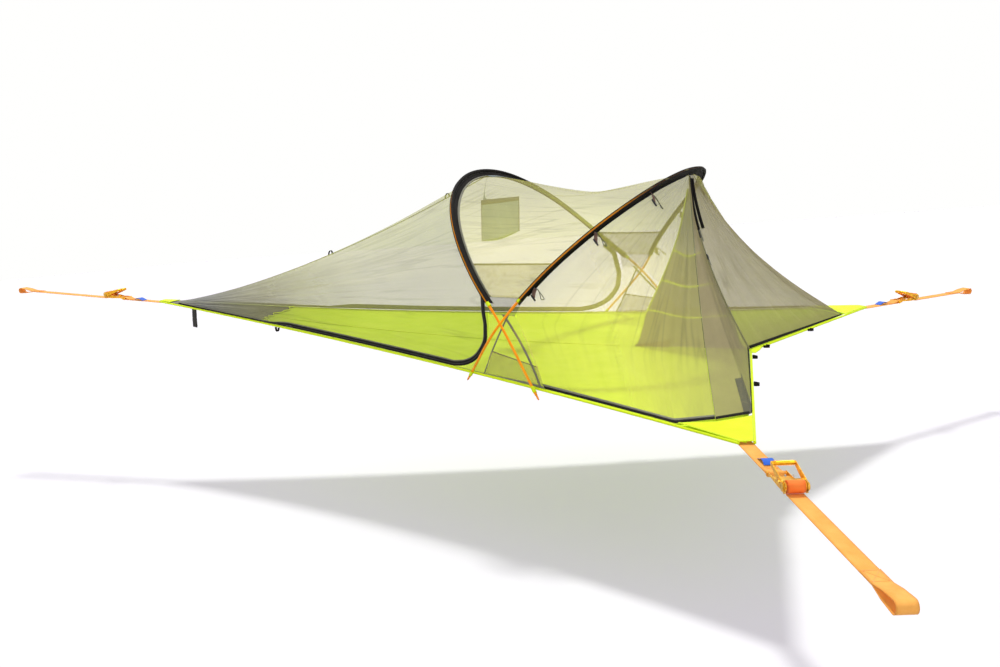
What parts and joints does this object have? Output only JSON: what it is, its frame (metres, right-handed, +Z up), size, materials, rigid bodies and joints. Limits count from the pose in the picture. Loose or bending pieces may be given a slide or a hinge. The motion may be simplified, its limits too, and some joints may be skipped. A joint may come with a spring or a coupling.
{
  "type": "tree tent",
  "caption": "Three-cornered mesh tent that ratchet straps hold flat and taut between trees, with bent poles in sleeves over it, zipped doors, a floor and hems.",
  "frame": {"origin": "in the plane of the hems' corners, on the tent's centre line, between the two places where the poles cross", "axes": "+Z up, +X from the tip corner towards the short edge, +Y to the far long side; the tent is the same on both sides of Y = 0 but for strap lengths and the one tie-out strap"},
  "size_m": [5.6365, 4.5544, 0.9287],
  "materials": {
    "dark_mesh": "darker double mesh",
    "floor": "coated woven cloth",
    "hem": "coated cloth and corded hem",
    "mesh": "fine woven mosquito mesh",
    "pole": "anodised",
    "sleeve": "ribbed black webbing",
    "slider": "black",
    "steel": "yellow zinc plated",
    "tie_webbing": "black woven webbing",
    "webbing": "woven polyester webbing",
    "zip": "black zip tape and coil"
  },
  "bodies": {
    "tent": {"divider": "dark_mesh", "end_hem": "hem", "end_zip": "zip", "far_corner_patch": "hem", "far_corner_strap": "webbing", "far_crossing_tie": "hem", "far_door": "mesh", "far_door_zip": "zip", "far_end_wall": "mesh", "far_hem": "hem", "far_kick_panel": "mesh", "far_ratchet_frame": "steel", "far_side_wall": "mesh", "far_tree_strap": "webbing", "floor": "floor", "loft_pocket": "dark_mesh", "near_corner_patch": "hem", "near_corner_strap": "webbing", "near_crossing_tie": "hem", "near_door": "mesh", "near_door_zip": "zip", "near_end_wall": "mesh", "near_hem": "hem", "near_kick_panel": "mesh", "near_ratchet_frame": "steel", "near_side_wall": "mesh", "near_tree_strap": "webbing", "roof": "mesh", "short_edge_patch": "hem", "tip_corner_strap": "webbing", "tip_patch": "hem", "tip_pole": "pole", "tip_pole_far_foot_tab": "hem", "tip_pole_near_foot_tab": "hem", "tip_ratchet_frame": "steel", "tip_sleeve": "sleeve", "tip_tree_strap": "webbing", "wide_pole": "pole", "wide_pole_far_foot_tab": "hem", "wide_pole_near_foot_tab": "hem", "wide_sleeve": "sleeve"},
    "tip_spool": {"tip_ratchet_spool": "steel", "tip_strap_roll": "webbing"},
    "tip_handle": {"tip_ratchet_handle": "steel"},
    "tip_handle_pawl": {"tip_handle_pawl": "steel"},
    "tip_lock_pawl": {"tip_lock_pawl": "steel"},
    "near_spool": {"near_ratchet_spool": "steel", "near_strap_roll": "webbing"},
    "near_handle": {"near_ratchet_handle": "steel"},
    "near_handle_pawl": {"near_handle_pawl": "steel"},
    "near_lock_pawl": {"near_lock_pawl": "steel"},
    "far_spool": {"far_ratchet_spool": "steel", "far_strap_roll": "webbing"},
    "far_handle": {"far_ratchet_handle": "steel"},
    "far_handle_pawl": {"far_handle_pawl": "steel"},
    "far_lock_pawl": {"far_lock_pawl": "steel"},
    "near_door_zip_slider": {"near_door_zip_slider": "slider"},
    "far_door_zip_slider": {"far_door_zip_slider": "slider"},
    "end_zip_slider": {"end_zip_slider": "slider"},
    "tie_out_strap": {"tie_out_strap": "tie_webbing"}
  },
  "joints": [
    {"name": "tip_spool_turn", "type": "hinge", "parent": "tent", "child": "tip_spool", "pos_m": [-3.146, 0, 0.015], "axis": [0, -1, 0], "continuous": true},
    {"name": "tip_handle_swing", "type": "hinge", "parent": "tent", "child": "tip_handle", "pos_m": [-3.146, 0, 0.015], "axis": [0, -1, 0], "range_deg": [-18, 150]},
    {"name": "tip_handle_pawl_slide", "type": "slide", "parent": "tip_handle", "child": "tip_handle_pawl", "axis": [0.9511, 0, 0.309], "range_m": [0, 0.006], "stiffness_N_per_m": 400},
    {"name": "tip_lock_pawl_slide", "type": "slide", "parent": "tent", "child": "tip_lock_pawl", "axis": [0.9511, 0, -0.309], "range_m": [0, 0.006], "stiffness_N_per_m": 400},
    {"name": "near_spool_turn", "type": "hinge", "parent": "tent", "child": "near_spool", "pos_m": [1.33, -1.73105, 0.015], "axis": [0.866, 0.5, 0], "continuous": true},
    {"name": "near_handle_swing", "type": "hinge", "parent": "tent", "child": "near_handle", "pos_m": [1.33, -1.73105, 0.015], "axis": [0.866, 0.5, 0], "range_deg": [-18, 150]},
    {"name": "near_handle_pawl_slide", "type": "slide", "parent": "near_handle", "child": "near_handle_pawl", "axis": [-0.4755, 0.8236, 0.309], "range_m": [0, 0.006], "stiffness_N_per_m": 400},
    {"name": "near_lock_pawl_slide", "type": "slide", "parent": "tent", "child": "near_lock_pawl", "axis": [-0.4755, 0.8236, -0.309], "range_m": [0, 0.006], "stiffness_N_per_m": 400},
    {"name": "far_spool_turn", "type": "hinge", "parent": "tent", "child": "far_spool", "pos_m": [1.33, 1.73105, 0.015], "axis": [-0.866, 0.5, 0], "continuous": true},
    {"name": "far_handle_swing", "type": "hinge", "parent": "tent", "child": "far_handle", "pos_m": [1.33, 1.73105, 0.015], "axis": [-0.866, 0.5, 0], "range_deg": [-18, 150]},
    {"name": "far_handle_pawl_slide", "type": "slide", "parent": "far_handle", "child": "far_handle_pawl", "axis": [-0.4755, -0.8236, 0.309], "range_m": [0, 0.006], "stiffness_N_per_m": 400},
    {"name": "far_lock_pawl_slide", "type": "slide", "parent": "tent", "child": "far_lock_pawl", "axis": [-0.4755, -0.8236, -0.309], "range_m": [0, 0.006], "stiffness_N_per_m": 400},
    {"name": "near_door_zip_slider_slide", "type": "slide", "parent": "tent", "child": "near_door_zip_slider", "axis": [0.96, -0.2797, -0.0103], "range_m": [-0.1, 0.1]},
    {"name": "far_door_zip_slider_slide", "type": "slide", "parent": "tent", "child": "far_door_zip_slider", "axis": [0.96, 0.2797, -0.0103], "range_m": [-0.1, 0.1]},
    {"name": "end_zip_slider_slide", "type": "slide", "parent": "tent", "child": "end_zip_slider", "axis": [-0.3631, 0, 0.9318], "range_m": [-0.03, 0.03]},
    {"name": "tie_out_swing", "type": "hinge", "parent": "tent", "child": "tie_out_strap", "pos_m": [-2.372, -0.09317, -0.00861], "axis": [0.977, -0.2121, -0.023], "range_deg": [-60, 60]}
  ]
}
